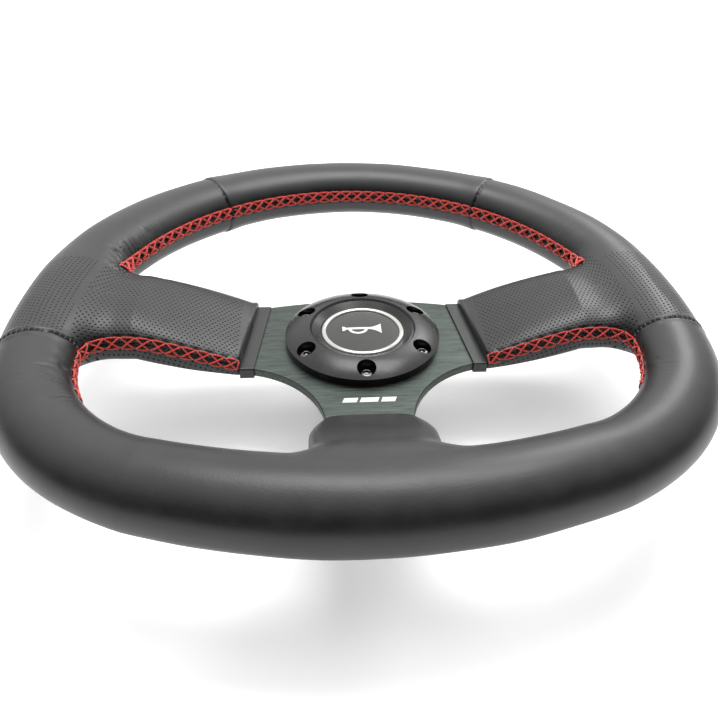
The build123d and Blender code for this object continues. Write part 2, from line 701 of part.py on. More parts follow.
def ball_hole():
    """Radial hole along +Y, narrowed at the bore so its ball can't fall inward."""
    neck = BORE_R + 1.4
    wide = Pos(0, neck + 2, 0) * Rot(90, 0, 0) * Cylinder(BALL_HOLE_R, 4)
    taper = Pos(0, (neck + BORE_R) / 2, 0) * Rot(-90, 0, 0) * Cone(BALL_SEAT_R, BALL_HOLE_R, neck - BORE_R)
    throat = Pos(0, BORE_R - 0.5, 0) * Rot(90, 0, 0) * Cylinder(BALL_SEAT_R, 1.0)
    return wide + taper + throat


def release_collar():
    """Sliding collar: spring chamber, running bore, and the ramp that holds the balls in."""
    contact = BALL_R / cos(asin(RAMP_SLOPE / sqrt(1 + RAMP_SLOPE ** 2))) + 0.02
    ramp_at_ball = BALL_CENTRE_R + contact
    ramp_start = BALL_Z + (ramp_at_ball - COLLAR_BORE_R) / RAMP_SLOPE
    ramp_end_r = ramp_at_ball + RAMP_SLOPE * (BALL_Z - COLLAR_BOTTOM)
    collar = turned([
        (COLLAR_BORE_R, COLLAR_CHAMBER_FLOOR),
        (COLLAR_BORE_R, ramp_start),
        (ramp_end_r, COLLAR_BOTTOM),
        (COLLAR_R - 1.0, COLLAR_BOTTOM),
        (COLLAR_R, COLLAR_BOTTOM + 1.0),
        (COLLAR_R, COLLAR_TOP - 5.0),
        (COLLAR_R - 1.6, COLLAR_TOP - 4.0),
        (COLLAR_R - 1.6, COLLAR_TOP - 2.6),
        (COLLAR_R, COLLAR_TOP - 1.6),
        (COLLAR_R - 0.6, COLLAR_TOP),
        (COLLAR_CHAMBER_R, COLLAR_TOP),
        (COLLAR_CHAMBER_R, COLLAR_CHAMBER_FLOOR),
    ])
    notch_z = (COLLAR_BOTTOM + COLLAR_TOP - 5.0) / 2
    for x, y, _ in around(GRIP_NOTCHES, COLLAR_R + 0.7):
        collar -= Pos(x, y, notch_z) * Cylinder(1.4, COLLAR_TOP - 5.0 - COLLAR_BOTTOM - 2.5)
    return collar


def snap_ring():
    """Split ring in the socket's groove that keeps the collar on."""
    ring = tube(SNAP_RING_OUTER_R, SNAP_GROOVE_R + 0.05, SNAP_RING_Z, SNAP_RING_Z + SNAP_RING_TALL)
    return ring - Pos(0, -SNAP_RING_OUTER_R, SNAP_RING_Z) * Box(5, 12, 8)


def release_pieces():
    NODES["release_socket"] = release_socket()
    NODES["release_collar"] = release_collar()
    NODES["collar_snap_ring"] = snap_ring()
    low, high = COLLAR_CHAMBER_FLOOR + 0.02, CUP_BOTTOM - 0.02
    NODES["collar_spring"] = coil(COLLAR_SPRING_R, COLLAR_SPRING_WIRE_R, low, high, COLLAR_SPRING_TURNS)
    NODES["socket_o_ring"] = Pos(0, 0, O_RING_Z) * Torus(O_RING_R, O_RING_WIRE_R)
    for number, (x, y, _) in enumerate(around(BALL_COUNT, BALL_CENTRE_R, 180 / BALL_COUNT), 1):
        NODES[f"lock_ball_{number}"] = Pos(x, y, BALL_Z) * Sphere(BALL_R)


# ---- build and write ------------------------------------------------------------------------
NODES["spoke_plate"] = spoke_plate()
NODES["rim_ring"] = rim_ring()
NODES["ring_rivets"] = Compound([rivet(x, y) for x, y in rivet_places()])
grip_pieces()
NODES["upper_stitching"] = upper_stitching()
NODES["right_hem_band"] = hem_band()
NODES["left_hem_band"] = mirrored(NODES["right_hem_band"])
NODES["trim_ring"] = trim_ring()
NODES["hub_screws"] = hub_screws()
horn_pieces()
release_pieces()

os.makedirs("parts", exist_ok=True)
for name, solid in NODES.items():
    export_step(solid, f"parts/{name}.step")
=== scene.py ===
import json
import math

import bpy
import numpy as np
import openvdb
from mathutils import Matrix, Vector


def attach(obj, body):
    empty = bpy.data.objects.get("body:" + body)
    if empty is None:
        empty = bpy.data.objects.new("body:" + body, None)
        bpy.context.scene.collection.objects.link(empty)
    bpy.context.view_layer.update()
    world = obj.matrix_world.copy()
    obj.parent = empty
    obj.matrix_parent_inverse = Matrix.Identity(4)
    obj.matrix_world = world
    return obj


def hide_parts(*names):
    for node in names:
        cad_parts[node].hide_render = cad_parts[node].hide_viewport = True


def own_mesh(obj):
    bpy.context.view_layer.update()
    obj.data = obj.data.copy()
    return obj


# Looks of the racing steering wheel. Lengths inside the shape functions are millimetres in the row
# frame: origin at the socket's end face, +Z to the driver, +Y to twelve o'clock. Meshes are metres.

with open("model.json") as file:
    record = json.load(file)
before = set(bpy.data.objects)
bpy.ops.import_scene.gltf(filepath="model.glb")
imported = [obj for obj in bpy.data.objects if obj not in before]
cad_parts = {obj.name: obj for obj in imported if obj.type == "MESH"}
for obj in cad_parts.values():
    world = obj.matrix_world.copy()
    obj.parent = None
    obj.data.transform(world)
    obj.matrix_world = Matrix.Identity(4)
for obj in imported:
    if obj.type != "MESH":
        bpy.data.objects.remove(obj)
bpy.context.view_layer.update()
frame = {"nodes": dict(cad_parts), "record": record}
MM = 0.001

# ---- driving dimensions, the same as the CAD part's -------------------------------------------
PLATE_TOP = 45.0
RIM_Z = PLATE_TOP + 20.0
RIM_TOP_Y = 156.0
RIM_ARC_SPANS = ((155.0, 82.0), (272.0, 15.0), (92.5, 63.5))
RIM_HALF_WIDTHS = ((0.0, 19.2), (60.0, 20.5), (100.0, 18.3), (145.0, 19.1), (180.0, 21.6))
RIM_FLATNESS = 0.84
TOP_SEAM_TURN = 35.0
GRIP_SEAM_TURN = 94.5
SPOKE_START_X = 61.0
SPOKE_CREST_X = 115.0
SPOKE_END_X = 146.0
SPOKE_TILT = math.radians(6.5)
# Each pair is the value at the spoke's hub end and at its rim end; heights are from the plate's top.
SPOKE_MID_Y = (4.8, 6.0)
SPOKE_MID_Z = (-0.3, 14.5)
SPOKE_HALF_WIDE = (30.5, 29.5)
SPOKE_HALF_TALL = (5.9, 13.0)
SPOKE_SWELL = 1.2
SPOKE_SQUARENESS = (4.5, 2.8)
LOWER_START = 66.0
LOWER_FLARE = 90.0
LOWER_CREST = 124.0
LOWER_END = 134.0
LOWER_HALF_WIDE = (21.4, 29.0)
LOWER_TOP = (2.8, 32.5)
LOWER_UNDERSIDE = (-7.6, 4.0)
LOWER_SQUARENESS = (5.0, 2.6)
# How far the blends between rim and pads reach, and the size of the leather mesh's squares.
SIDE_BLEND = 16.0
LOWER_BLEND = 16.0
VOXEL = 0.8
COARSE_VOXELS = 5


# ---- small numeric helpers --------------------------------------------------------------------
def ease(value, low, high):
    share = np.clip((value - low) / (high - low), 0.0, 1.0)
    return share * share * (3 - 2 * share)


def lerp(ends, share):
    return ends[0] + (ends[1] - ends[0]) * share


def smooth_min(a, b, reach):
    mix = np.clip(0.5 + 0.5 * (b - a) / reach, 0.0, 1.0)
    return b + (a - b) * mix - reach * mix * (1 - mix)


def hash_noise(cells, seed):
    """One repeatable random number from 0 to 1 per whole-number cell."""
    mixed = np.zeros(cells.shape[:-1], np.uint32) + np.uint32(seed * 2654435761 % 2**32)
    for axis in range(cells.shape[-1]):
        factor = np.uint32(374761393 + 668265263 * axis % 2**31)
        mixed ^= cells[..., axis].astype(np.int64).astype(np.uint32) * factor
        mixed = (mixed ^ (mixed >> np.uint32(13))) * np.uint32(1274126177)
    return (mixed ^ (mixed >> np.uint32(16))).astype(np.float64) / 2**32


def value_noise(points, size, seed=0):
    """Smooth noise from -1 to 1 with features about as large as size."""
    scaled = points / size
    base = np.floor(scaled)
    part = scaled - base
    part = part * part * (3 - 2 * part)
    total = np.zeros(len(points))
    dims = points.shape[1]
    for corner in range(2**dims):
        step = np.array([(corner >> axis) & 1 for axis in range(dims)])
        weight = np.prod(np.where(step, part, 1 - part), axis=1)
        total += weight * hash_noise(base + step, seed)
    return total * 2 - 1


# ---- the rim's centreline ---------------------------------------------------------------------
def rim_arcs():
    """(centre x, centre y, radius, first turn, last turn) of each arc of the right half."""
    arcs = []
    x, y, start = 0.0, RIM_TOP_Y, 0.0
    for radius, span in RIM_ARC_SPANS:
        first, last = math.radians(start), math.radians(start + span)
        cx, cy = x - radius * math.sin(first), y - radius * math.cos(first)
        arcs.append((cx, cy, radius, first, last))
        x, y = cx + radius * math.sin(last), cy + radius * math.cos(last)
        start += span
    first = math.radians(start)
    radius = x / math.sin(first)
    arcs.append((0.0, y - radius * math.cos(first), radius, first, math.pi))
    return arcs


RIM_ARCS = rim_arcs()
ARC_STARTS = np.cumsum([0.0] + [arc[2] * (arc[4] - arc[3]) for arc in RIM_ARCS])


def rim_half_width(turn):
    """Half the section's width at turns in radians, eased between the named places."""
    degrees = np.degrees(np.abs(turn))
    half = np.full(np.shape(degrees), RIM_HALF_WIDTHS[0][1])
    for (t0, w0), (t1, w1) in zip(RIM_HALF_WIDTHS, RIM_HALF_WIDTHS[1:]):
        share = (1 - np.cos(np.pi * np.clip((degrees - t0) / (t1 - t0), 0, 1))) / 2
        half = np.where(degrees >= t0, w0 + (w1 - w0) * share, half)
    return half


def rim_point(turn, out=0.0):
    """Points on the centreline at turns in radians, moved outward by out."""
    turn = np.atleast_1d(np.asarray(turn, float))
    size = np.abs(turn)
    x, y = np.zeros(len(turn)), np.zeros(len(turn))
    for cx, cy, radius, first, last in RIM_ARCS:
        inside = (size >= first - 1e-9) & (size <= last + 1e-9)
        x = np.where(inside, cx + radius * np.sin(size), x)
        y = np.where(inside, cy + radius * np.cos(size), y)
    x = (x + out * np.sin(size)) * np.where(turn < 0, -1, 1)
    return x, y + out * np.cos(size)


def rim_place(x, y):
    """Turn (radians, left is negative), offset outward and distance round the rim of points."""
    side = np.abs(x)
    best = np.full(x.shape, 1e9)
    turn, out, along = np.zeros(x.shape), np.zeros(x.shape), np.zeros(x.shape)
    for (cx, cy, radius, first, last), start in zip(RIM_ARCS, ARC_STARTS):
        angle = np.clip(np.arctan2(side - cx, y - cy), first, last)
        px, py = cx + radius * np.sin(angle), cy + radius * np.cos(angle)
        gap = np.hypot(side - px, y - py)
        better = gap < best
        best = np.where(better, gap, best)
        turn = np.where(better, angle, turn)
        out = np.where(better, (side - px) * np.sin(angle) + (y - py) * np.cos(angle), out)
        along = np.where(better, start + radius * (angle - first), along)
    sign = np.where(x < 0, -1.0, 1.0)
    return turn * sign, out, along * sign


# ---- leather shape as a distance field --------------------------------------------------------
def oval_distance(across, up, wide, tall):
    """Distance, near the surface, to an ellipse or to an oval of changing size."""
    near = np.hypot(across / wide, up / tall)
    steep = np.hypot(across / wide**2, up / tall**2)
    return near * (near - 1) / np.maximum(steep, 1e-6)


def pad_distance(across, up, wide, tall, square):
    """Distance, near the surface, to a superellipse section."""
    a, u = np.abs(across) / wide + 1e-6, np.abs(up) / tall + 1e-6
    size = (a**square + u**square) ** (1 / square)
    slope = size ** (1 - square) * np.hypot(a ** (square - 1) / wide, u ** (square - 1) / tall)
    return (size - 1) / np.maximum(slope, 1e-6)


def side_pad_shape(x):
    """Centre, half width, half height and squareness of a side spoke's padding at x."""
    rise = np.clip((x - SPOKE_START_X) / (SPOKE_CREST_X - SPOKE_START_X), 0, 1)
    across = np.clip((x - SPOKE_START_X) / (SPOKE_END_X - SPOKE_START_X), 0, 1)
    mid_y = lerp(SPOKE_MID_Y, across)
    mid_z = PLATE_TOP + lerp(SPOKE_MID_Z, rise)
    wide = lerp(SPOKE_HALF_WIDE, across) + SPOKE_SWELL * np.sin(np.pi * across)
    tall = lerp(SPOKE_HALF_TALL, rise) + SPOKE_SWELL * np.sin(np.pi * rise)
    return mid_y, mid_z, wide, tall, lerp(SPOKE_SQUARENESS, rise)


def lower_pad_shape(drop):
    """Centre level, half width, half height and squareness of the lower spoke's padding."""
    rise = np.clip((drop - LOWER_START) / (LOWER_CREST - LOWER_START), 0, 1)
    flare = np.clip((drop - LOWER_START) / (LOWER_FLARE - LOWER_START), 0, 1)
    top, underside = lerp(LOWER_TOP, rise), lerp(LOWER_UNDERSIDE, rise)
    wide = lerp(LOWER_HALF_WIDE, np.sin(np.pi / 2 * flare))
    return PLATE_TOP + (top + underside) / 2, wide, (top - underside) / 2, lerp(LOWER_SQUARENESS, rise)


def rounded_cut(body, plane, radius):
    """The body cut by a plane, with its new edge rounded."""
    a, b = body + radius, plane + radius
    both = np.hypot(np.maximum(a, 0), np.maximum(b, 0))
    return np.minimum(np.maximum(a, b), 0) + both - radius


def leather_field(points):
    """Distance to the whole leather surface; the wheel is the same on both sides."""
    x, y, z = np.abs(points[:, 0]), points[:, 1], points[:, 2]
    turn, out, _ = rim_place(x, y)
    half = rim_half_width(turn)
    rim = oval_distance(out, z - RIM_Z, half, half * RIM_FLATNESS)
    mid_y, mid_z, wide, tall, square = side_pad_shape(x)
    side = pad_distance(y - mid_y, z - mid_z, wide, tall, square)
    hub_end = -((x - SPOKE_START_X) * math.cos(SPOKE_TILT) + (y - 4.0) * math.sin(SPOKE_TILT))
    side = rounded_cut(side, hub_end, 1.2)
    side = np.maximum(side, x - SPOKE_END_X)
    lower_z, wide, tall, square = lower_pad_shape(-y)
    lower = pad_distance(x, z - lower_z, wide, tall, square)
    lower = rounded_cut(lower, LOWER_START + y, 1.0)
    lower = np.maximum(lower, -y - LOWER_END)
    shape = smooth_min(rim, side, SIDE_BLEND * ease(x, 70.0, 110.0) + 0.01)
    fade = ease(-y, 74.0, 100.0) * ease(-y, 142.0, 112.0)
    return smooth_min(shape, lower, LOWER_BLEND * fade + 0.01)


def field_normals(field, points, step=0.05):
    slope = np.empty_like(points)
    for axis in range(3):
        shift = np.zeros(3)
        shift[axis] = step
        slope[:, axis] = (field(points + shift) - field(points - shift)) / (2 * step)
    return slope


def settle(field, points, rounds=3):
    """Moves points onto the field's surface; returns them with their outward normals."""
    for _ in range(rounds):
        slope = field_normals(field, points)
        size = np.maximum((slope**2).sum(1), 0.05)
        points = points - slope * (field(points) / size)[:, None]
    slope = field_normals(field, points)
    return points, slope / np.linalg.norm(slope, axis=1)[:, None]


def mesh_field(field, low, high, voxel):
    """Quads over the field's surface: a coarse pass finds where, a fine pass samples there."""
    low, high = np.array(low, float), np.array(high, float)
    coarse = voxel * COARSE_VOXELS
    half_block = COARSE_VOXELS // 2
    counts = np.ceil((high - low) / coarse).astype(int) + 1
    axes = [low[a] + coarse * np.arange(counts[a]) for a in range(3)]
    grid = np.stack(np.meshgrid(*axes, indexing="ij"), -1).reshape(-1, 3)
    rough = field(grid).reshape(counts)
    fine = rough.astype(np.float32)
    for axis in range(3):
        fine = np.repeat(fine, COARSE_VOXELS, axis)
    band = voxel * 3
    near = np.abs(fine) < coarse * 1.8 + band
    fine = np.clip(fine, -band, band)
    place = np.argwhere(near)
    centre = low + (place - half_block) * voxel
    values = np.empty(len(centre), np.float32)
    for start in range(0, len(centre), 400000):
        values[start:start + 400000] = field(centre[start:start + 400000])
    fine[near] = np.clip(values, -band, band)
    volume = openvdb.FloatGrid(band)
    volume.copyFromArray(fine)
    points, quads = volume.convertToQuads(0.0)
    return low + (points.astype(float) - half_block) * voxel, quads.astype(np.int64)


# ---- seam and stitch lines --------------------------------------------------------------------
def even_path(field, points, spacing):
    """A path pulled onto the field's surface and resampled at even spacing, with frames."""
    points = np.array(points, float)
    for _ in range(3):
        lengths = np.linalg.norm(np.diff(points, axis=0), axis=1)
        along = np.concatenate([[0], np.cumsum(lengths)])
        count = max(int(round(along[-1] / spacing)), 2)
        marks = np.linspace(0, along[-1], count + 1)
        points = np.stack([np.interp(marks, along, points[:, a]) for a in range(3)], 1)
        points[1:-1] = (points[:-2] + 2 * points[1:-1] + points[2:]) / 4
        points, normals = settle(field, points)
    tangents = np.gradient(points, axis=0)
    tangents /= np.linalg.norm(tangents, axis=1)[:, None]
    across = np.cross(normals, tangents)
    across /= np.linalg.norm(across, axis=1)[:, None]
    return points, normals, across


STITCH_STEP = 7.4
STITCH_RISE = 0.4
STITCH_HALF = 3.0
UPPER_END_TURN = math.radians(76.5)


def upper_stitch_line():
    """Along the inside of the upper opening, a little to the driver's side of the middle."""
    turns = np.linspace(-UPPER_END_TURN, UPPER_END_TURN, 160)
    half = rim_half_width(turns)
    lift = np.radians(8.0)
    x, y = rim_point(turns, 0.0)
    x = x - half * np.cos(lift) * np.sin(turns)
    y = y - half * np.cos(lift) * np.cos(turns)
    return np.stack([x, y, RIM_Z + half * RIM_FLATNESS * math.sin(lift)], 1)


def side_stitch_line():
    """Under the right spoke from its hem, round the corner and down the inside of the rim."""
    points = []
    for x in np.linspace(64.5, 120.0, 24):
        mid_y, mid_z, wide, tall, square = side_pad_shape(x)
        reach = wide * (1 - STITCH_RISE**square) ** (1 / square)
        points.append((x, mid_y - reach, mid_z + STITCH_RISE * tall))
    points.append((127.0, -27.0, RIM_Z - 2.0))
    points.append((132.0, -34.0, RIM_Z - 1.0))
    for turn in np.radians(np.linspace(97.0, 117.0, 16)):
        x, y = rim_point(turn, -rim_half_width(turn))
        points.append((x[0], y[0], RIM_Z - 1.0))
    return np.array(points)


def flip(points):
    return points * np.array([-1.0, 1.0, 1.0])


STITCH_PATHS = {
    "upper_stitching": even_path(leather_field, upper_stitch_line(), STITCH_STEP),
    "right_stitching": even_path(leather_field, side_stitch_line(), STITCH_STEP),
    "left_stitching": even_path(leather_field, flip(side_stitch_line()), STITCH_STEP),
}


def path_distance(points, path):
    """Distance from points to a path, and how far along the path the nearest place is."""
    best = np.full(len(points), 1e9)
    along = np.zeros(len(points))
    total = 0.0
    for a, b in zip(path[:-1], path[1:]):
        step = b - a
        length = np.linalg.norm(step)
        share = np.clip(((points - a) @ step) / length**2, 0, 1)
        gap = np.linalg.norm(points - a - share[:, None] * step, axis=1)
        closer = gap < best
        best = np.where(closer, gap, best)
        along = np.where(closer, total + share * length, along)
        total += length
    return best, along


# ---- leather covers ---------------------------------------------------------------------------
# Where the leather creases: turn in degrees, spread, strength, middle and reach round the section.
CREASES = (
    (-109.0, 8.0, 1.5, 0.75, 0.8),
    (-124.0, 5.0, 1.0, 0.9, 0.55),
    (112.0, 7.0, 0.5, 0.6, 0.6),
    (-70.0, 9.0, 1.6, 0.55, 0.45),
    (68.0, 8.0, 0.6, 0.5, 0.4),
)


def wrinkles(points, turn, along, angle):
    """Creases across the rim's inside bends, and a faint unevenness everywhere."""
    where = np.degrees(turn)
    drift = value_noise(points, 16.0, 3) * 2.4 + value_noise(points, 7.0, 4) * 0.7
    lines = np.stack([(along + drift) / 2.9, angle * 0.8, np.zeros(len(along))], 1)
    fine = np.stack([(along + drift) / 1.6, angle * 1.3, np.ones(len(along))], 1)
    patch = np.clip(0.55 + 0.9 * value_noise(points, 9.0, 21), 0.0, 1.0)
    fold = (1 - np.abs(value_noise(lines, 1.0, 7))) ** 4 * 0.7
    fold += (1 - np.abs(value_noise(fine, 1.0, 8))) ** 5 * 0.3
    depth = np.zeros(len(points))
    for centre, spread, strength, middle, reach in CREASES:
        zone = np.exp(-(((where - centre) / spread) ** 2)) * np.exp(-(((angle - middle) / reach) ** 2))
        depth -= strength * zone * fold * patch
    broad = value_noise(points, 26.0, 11) * 0.22 + value_noise(points, 11.0, 12) * 0.05
    return depth + broad


def leather_mesh():
    """All leather as one surface: points, normals, quads and what each point needs to know."""
    points, quads = mesh_field(leather_field, (-182, -168, 32), (182, 184, 92), VOXEL)
    points, normals = settle(leather_field, points, 2)
    turn, out, along = rim_place(points[:, 0], points[:, 1])
    half = rim_half_width(turn)
    angle = np.arctan2((points[:, 2] - RIM_Z) / (half * RIM_FLATNESS), -out / half)
    return points, normals, quads, turn, out, along, half, angle


def seam_gap(along, turn_degrees):
    """Distance along the rim from a seam, positive past it, at both hands' seams."""
    turn = np.radians(turn_degrees)
    for (_, _, radius, first, last), start in zip(RIM_ARCS, ARC_STARTS):
        if first <= turn <= last:
            return np.abs(along) - (start + radius * (turn - first))
    return np.abs(along)


def leather_covers():
    points, normals, quads, turn, out, along, half, angle = leather_mesh()
    dent = wrinkles(points, turn, along, angle)
    groove = np.zeros(len(points))
    # dark is painted shade: it darkens the leather in the stitch trenches and seam grooves, the deeper
    # grooves more, where shade falls.
    dark = np.zeros(len(points))
    for name, (path, _, _) in STITCH_PATHS.items():
        low, high = path.min(0) - 9, path.max(0) + 9
        near = np.all((points > low) & (points < high), axis=1)
        gap, place = path_distance(points[near], path)
        cell = np.cos(2 * np.pi * place / STITCH_STEP)
        trench = -1.1 * np.exp(-((gap / 1.1) ** 2)) + 0.3 * np.exp(-(((gap - 1.9) / 1.0) ** 2))
        pull = -0.3 * np.exp(-(((gap - STITCH_HALF) / 0.8) ** 2)) * (1 + cell)
        groove[near] += trench + pull
        dark[near] = np.maximum(dark[near], np.exp(-((gap / 1.5) ** 2)))
    on_rim = ease(out + half, -4.0, 3.0)
    low_seam = seam_gap(along, GRIP_SEAM_TURN)
    top_seam = seam_gap(along, TOP_SEAM_TURN)
    ripple = 0.35 * np.cos(angle * half / 1.5)
    groove -= on_rim * 0.95 * np.exp(-((low_seam / 0.75) ** 2))
    groove += on_rim * 0.30 * np.exp(-(((np.abs(low_seam) - 2.4) / 1.5) ** 2)) * (1 + ripple)
    dark = np.maximum(dark, on_rim * np.exp(-((low_seam / 0.7) ** 2)) * 0.9)
    deep = 0.35 + 0.65 * np.exp(-(((angle - 0.55) / 0.6) ** 2))
    groove -= 0.75 * deep * np.exp(-((top_seam / 0.8) ** 2))
    groove += 0.7 * (top_seam < 0) * np.exp(-((top_seam / 9.0) ** 2))
    dark = np.maximum(dark, np.exp(-((top_seam / 0.7) ** 2)) * 0.9 * deep**2)
    points = points + normals * (dent + groove)[:, None]
    hole_u, hole_v, holes = perforation(points, turn, along, half, angle, out)
    centre = np.abs(along[quads]).mean(1)
    hand = np.sign(points[quads][:, :, 0].mean(1))
    low_mark = np.abs(along) - low_seam
    top_mark = np.abs(along) - top_seam
    shares = {
        "top_leather": centre < top_mark[0],
        "right_grip_leather": (centre >= top_mark[0]) & (centre < low_mark[0]) & (hand > 0),
        "left_grip_leather": (centre >= top_mark[0]) & (centre < low_mark[0]) & (hand < 0),
        "bottom_leather": centre >= low_mark[0],
    }
    values = {"hole_u": hole_u, "hole_v": hole_v, "holes": holes, "dark": dark}
    return {name: (points, quads[mask], values) for name, mask in shares.items()}


def perforation(points, turn, along, half, angle, out):
    """Hole lattice coordinates in millimetres and where the leather is perforated."""
    x, y = np.abs(points[:, 0]), points[:, 1]
    mid_y, mid_z, wide, tall, square = side_pad_shape(x)
    across = y - mid_y
    drop = mid_z + tall - points[:, 2]
    border = out + half * 0.8
    on_pad = border < 0
    hole_u = np.where(on_pad, x, np.abs(along))
    hole_v = np.where(on_pad, across + np.sign(across) * drop * 0.8, angle * half)
    on_rim = ease(y, 33.0, 28.0) * (seam_gap(along, GRIP_SEAM_TURN) < -2.6)
    on_spoke = (x > 65.0) * ease(y, 39.0, 36.0)
    holes = np.where(on_pad, on_spoke, on_rim) * (np.abs(border) > 1.1)
    return hole_u, hole_v, holes


# ---- node material helpers --------------------------------------------------------------------
class Surface:
    """A principled material built up with a few shorthand calls."""

    def __init__(self, name, colour, roughness, metallic=0.0, **sockets):
        self.material = bpy.data.materials.new(name)
        self.material.use_nodes = True
        self.tree = self.material.node_tree
        self.shader = self.tree.nodes["Principled BSDF"]
        self.shader.inputs["Base Color"].default_value = (*colour, 1)
        self.shader.inputs["Roughness"].default_value = roughness
        self.shader.inputs["Metallic"].default_value = metallic
        for socket, value in sockets.items():
            self.shader.inputs[socket.replace("_", " ")].default_value = value
        self.bump = None
        self.place = self.node("ShaderNodeTexCoord").outputs["Object"]

    def node(self, kind, **settings):
        made = self.tree.nodes.new(kind)
        for key, value in settings.items():
            setattr(made, key, value)
        return made

    def link(self, start, end):
        self.tree.links.new(start, end)

    def put(self, socket, value):
        """Sets a socket to a number or colour, or links another node's output to it."""
        if isinstance(value, bpy.types.NodeSocket):
            self.link(value, socket)
        else:
            socket.default_value = value

    def math(self, operation, a, b=0.0, c=0.0):
        made = self.node("ShaderNodeMath", operation=operation)
        for socket, value in zip(made.inputs, (a, b, c)):
            self.put(socket, value)
        return made.outputs[0]

    def stretched(self, scale):
        made = self.node("ShaderNodeMapping")
        self.link(self.place, made.inputs["Vector"])
        made.inputs["Scale"].default_value = scale
        return made.outputs[0]

    def noise(self, scale, detail=3.0, roughness=0.5, vector=None, distortion=0.0):
        made = self.node("ShaderNodeTexNoise")
        self.link(vector or self.place, made.inputs["Vector"])
        made.inputs["Scale"].default_value = scale
        made.inputs["Detail"].default_value = detail
        made.inputs["Roughness"].default_value = roughness
        made.inputs["Distortion"].default_value = distortion
        return made.outputs["Fac"]

    def cells(self, scale, feature="F1", randomness=1.0, vector=None):
        made = self.node("ShaderNodeTexVoronoi", feature=feature)
        self.link(vector or self.place, made.inputs["Vector"])
        made.inputs["Scale"].default_value = scale
        made.inputs["Randomness"].default_value = randomness
        return made.outputs["Distance"]

    def spread(self, value, low, high, out_low, out_high):
        made = self.node("ShaderNodeMapRange")
        for socket, number in zip(made.inputs, (value, low, high, out_low, out_high)):
            self.put(socket, number)
        return made.outputs[0]

    def mix(self, share, a, b):
        made = self.node("ShaderNodeMix", data_type="RGBA")
        self.put(made.inputs["Factor"], share)
        for socket, value in ((made.inputs["A"], a), (made.inputs["B"], b)):
            self.put(socket, (*value, 1) if isinstance(value, tuple) else value)
        return made.outputs["Result"]

    def value(self, name):
        return self.node("ShaderNodeAttribute", attribute_name=name).outputs["Fac"]

    def colour(self, value):
        self.put(self.shader.inputs["Base Color"], value)

    def rough(self, value):
        self.put(self.shader.inputs["Roughness"], value)

    def raise_by(self, height, distance, strength=1.0):
        made = self.node("ShaderNodeBump")
        self.link(height, made.inputs["Height"])
        made.inputs["Distance"].default_value = distance
        made.inputs["Strength"].default_value = strength
        if self.bump is not None:
            self.link(self.bump, made.inputs["Normal"])
        self.bump = made.outputs["Normal"]
        self.link(self.bump, self.shader.inputs["Normal"])


HOLE_PITCH = 2.35
HOLE_R = 0.40
LEATHER_SHEEN = 0.5


def leather_material(name, perforated):
    s = Surface(name, (0.012, 0.012, 0.0125), 0.38, Specular_IOR_Level=LEATHER_SHEEN)
    pebble = s.cells(1300.0, "SMOOTH_F1")
    pores = s.cells(2900.0)
    mottle = s.noise(90.0, 4.0, 0.6)
    broad = s.noise(16.0, 2.0)
    worn = s.mix(s.spread(mottle, 0.35, 0.7, 0.0, 1.0), (0.0070, 0.0075, 0.0072), (0.0125, 0.0132, 0.0128))
    # Painted shade: the dark attribute mixes the leather towards near-black in the stitch trenches and seam
    # grooves.
    shaded = s.mix(s.spread(s.value("dark"), 0.0, 1.0, 0.0, 0.92), worn, (0.002, 0.002, 0.002))
    unevenness = s.math("ADD", s.math("MULTIPLY", broad, 0.6), s.math("MULTIPLY", mottle, 0.4))
    rough = s.spread(unevenness, 0.3, 0.7, 0.34, 0.44)
    s.raise_by(s.math("ADD", s.math("MULTIPLY", pebble, 0.7), s.math("MULTIPLY", pores, 0.3)), 0.00008, 0.4)
    s.raise_by(s.noise(420.0, 3.0, 0.6), 0.0001, 0.3)
    if perforated:
        row = s.math("DIVIDE", s.value("hole_v"), HOLE_PITCH * 0.9)
        shift = s.math("MULTIPLY", s.math("FLOORED_MODULO", s.math("FLOOR", row), 2.0), 0.5)
        column = s.math("ADD", s.math("DIVIDE", s.value("hole_u"), HOLE_PITCH), shift)
        from_row = s.math("MULTIPLY", s.math("SUBTRACT", s.math("FRACT", row), 0.5), HOLE_PITCH * 0.9)
        from_column = s.math("MULTIPLY", s.math("SUBTRACT", s.math("FRACT", column), 0.5), HOLE_PITCH)
        gap = s.math("SQRT", s.math("ADD", s.math("POWER", from_row, 2.0), s.math("POWER", from_column, 2.0)))
        holes = s.math("GREATER_THAN", s.value("holes"), 0.6)
        inside = s.math("MULTIPLY", s.spread(gap, HOLE_R + 0.06, HOLE_R - 0.1, 0.0, 1.0), holes)
        dimple = s.math("MULTIPLY", s.spread(gap, HOLE_R * 1.7, HOLE_R * 0.8, 0.0, 1.0), holes)
        # The holes are real perforations drawn as flat discs; their near-black colour is painted shade inside
        # the holes.
        shaded = s.mix(inside, shaded, (0.0006, 0.0006, 0.0006))
        s.raise_by(s.math("MULTIPLY", dimple, -1.0), 0.00012, 0.6)
        rough = s.math("MAXIMUM", rough, inside)
        s.put(s.shader.inputs["Specular IOR Level"], s.spread(inside, 0.0, 1.0, LEATHER_SHEEN, 0.0))
    s.colour(shaded)
    s.rough(rough)
    return s.material


def thread_material(name, colour, shade):
    s = Surface(name, colour, 0.62, Sheen_Weight=0.35)
    twist = s.math("SINE", s.math("MULTIPLY", s.value("twist"), 2 * math.pi))
    # Painted shade: the thread turns to its shade colour in the grooves between the twisted plies.
    s.colour(s.mix(s.spread(twist, -0.6, 0.6, 0.0, 1.0), shade, colour))
    s.raise_by(twist, 0.00012, 0.8)
    s.raise_by(s.noise(3800.0, 2.0), 0.00008, 0.5)
    return s.material


